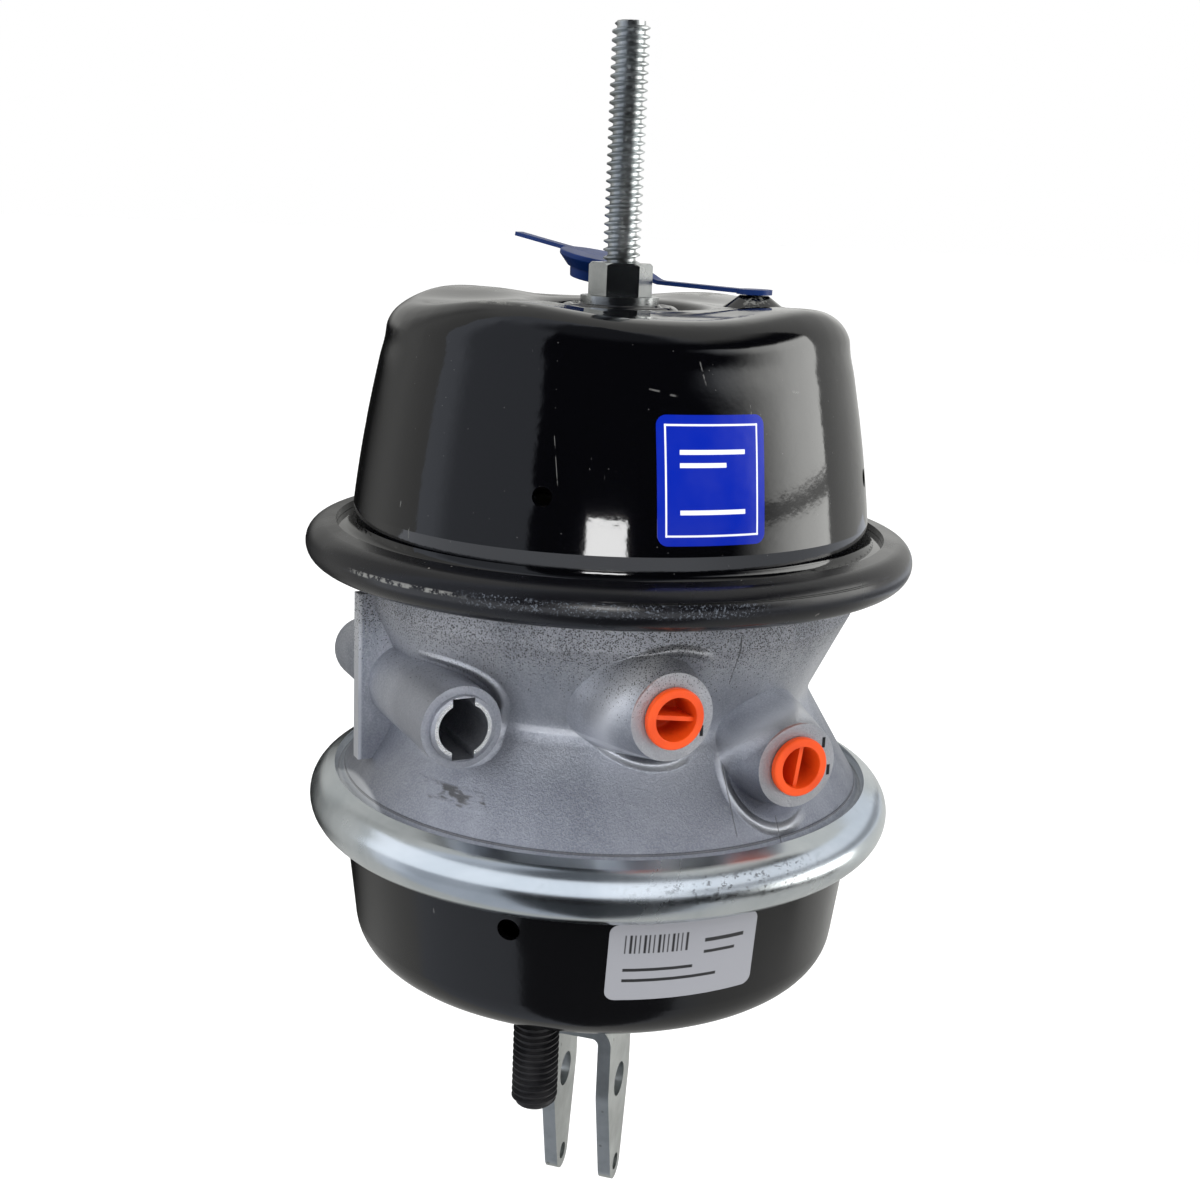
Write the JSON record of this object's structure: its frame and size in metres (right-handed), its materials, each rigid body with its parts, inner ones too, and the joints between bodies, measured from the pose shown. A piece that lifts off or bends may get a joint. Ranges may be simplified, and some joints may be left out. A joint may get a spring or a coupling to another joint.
{
  "type": "air brake chamber",
  "caption": "Double-diaphragm spring brake chamber: steel cups clamped to a cast flange case, caging bolt on top, studs and clevis push rod below.",
  "frame": {"origin": "centre of the two mounting studs, on the service housing's mounting face", "axes": "+Z along the chamber's axis towards the release bolt's free end; the push rod leaves along -Z; the front ports face azimuth -63.7 degrees, near -Y"},
  "size_m": [0.2126, 0.2322, 0.4265],
  "materials": {
    "black_paint_head": "gloss black dip paint",
    "black_paint_ring": "satin black paint",
    "black_paint_lower": "gloss black dip paint",
    "cast_aluminium": "as-cast, satin",
    "cast_aluminium_inner": "as-cast, satin",
    "bright_zinc": "bright zinc plate",
    "zinc_hardware": "zinc plate",
    "zinc_bolt": "zinc plate",
    "black_stud": "black phosphate",
    "bare_steel": "bare steel",
    "spring_steel": "coated spring steel",
    "rubber": "moulded rubber",
    "guide_nylon": "moulded nylon",
    "orange_plastic": "moulded polyethylene",
    "blue_plastic": "moulded polyethylene"
  },
  "bodies": {
    "chamber": {"service_housing": "black_paint_lower", "stud_reinforcement_plate": "bare_steel", "mounting_studs": "black_stud", "service_diaphragm": "rubber", "clamp_band": "bright_zinc", "clamp_bolt": "zinc_hardware", "clamp_nut": "zinc_hardware", "flange_case": "cast_aluminium", "rod_guide_bushing": "guide_nylon", "rod_seal": "rubber", "crimp_ring": "black_paint_ring", "power_head": "black_paint_head", "spring_diaphragm": "rubber", "release_washer": "zinc_bolt", "power_spring": "spring_steel", "service_return_spring": "spring_steel", "adapter_return_spring": "spring_steel"},
    "brake_rod": {"push_plate": "bare_steel", "push_rod": "zinc_hardware", "clevis": "zinc_hardware"},
    "power_piston": {"adapter_plate": "bare_steel", "adapter_rod": "bare_steel", "pressure_plate": "cast_aluminium_inner", "release_bolt": "zinc_bolt", "release_cross_pin": "bare_steel"},
    "caging_nut": {"release_nut": "zinc_bolt"},
    "dust_plug": {"dust_plug_strap": "blue_plastic"},
    "spring_plug_front": {"spring_port_plug_front": "orange_plastic"},
    "service_plug_front": {"service_port_plug_front": "orange_plastic"},
    "spring_plug_rear": {"spring_port_plug_rear": "orange_plastic"},
    "service_plug_rear": {"service_port_plug_rear": "orange_plastic"}
  },
  "joints": [
    {"name": "piston_travel", "type": "slide", "parent": "chamber", "child": "power_piston", "axis": [0, 0, -1], "range_m": [0, 0.0635], "deforming": ["spring_diaphragm", "power_spring", "adapter_return_spring"]},
    {"name": "rod_travel", "type": "slide", "parent": "chamber", "child": "brake_rod", "axis": [0, 0, -1], "range_m": [0, 0.0635], "stiffness_N_per_m": 1900, "springref_m": -0.05, "deforming": ["service_diaphragm", "service_return_spring"]},
    {"name": "nut_turn", "type": "hinge", "parent": "chamber", "child": "caging_nut", "pos_m": [0, 0, 0.2421], "axis": [0, 0, 1], "range_deg": [0, 8101]},
    {"name": "dust_plug_swing", "type": "hinge", "parent": "chamber", "child": "dust_plug", "pos_m": [0.0451, -0.0111, 0.2403], "axis": [0, 0, -1], "range_deg": [0, 50]},
    {"name": "spring_plug_front_pull", "type": "slide", "parent": "chamber", "child": "spring_plug_front", "axis": [0.4431, -0.8965, 0], "range_m": [0, 0.02]},
    {"name": "service_plug_front_pull", "type": "slide", "parent": "chamber", "child": "service_plug_front", "axis": [0.4431, -0.8965, 0], "range_m": [0, 0.02]},
    {"name": "spring_plug_rear_pull", "type": "slide", "parent": "chamber", "child": "spring_plug_rear", "axis": [-0.4431, 0.8965, 0], "range_m": [0, 0.02]},
    {"name": "service_plug_rear_pull", "type": "slide", "parent": "chamber", "child": "service_plug_rear", "axis": [-0.4431, 0.8965, 0], "range_m": [0, 0.02]}
  ],
  "couplings": [
    {"joint": "rod_travel", "follows": "piston_travel", "ratio": 1},
    {"joint": "nut_turn", "follows": "piston_travel", "rad_per_m": 2226.3}
  ]
}
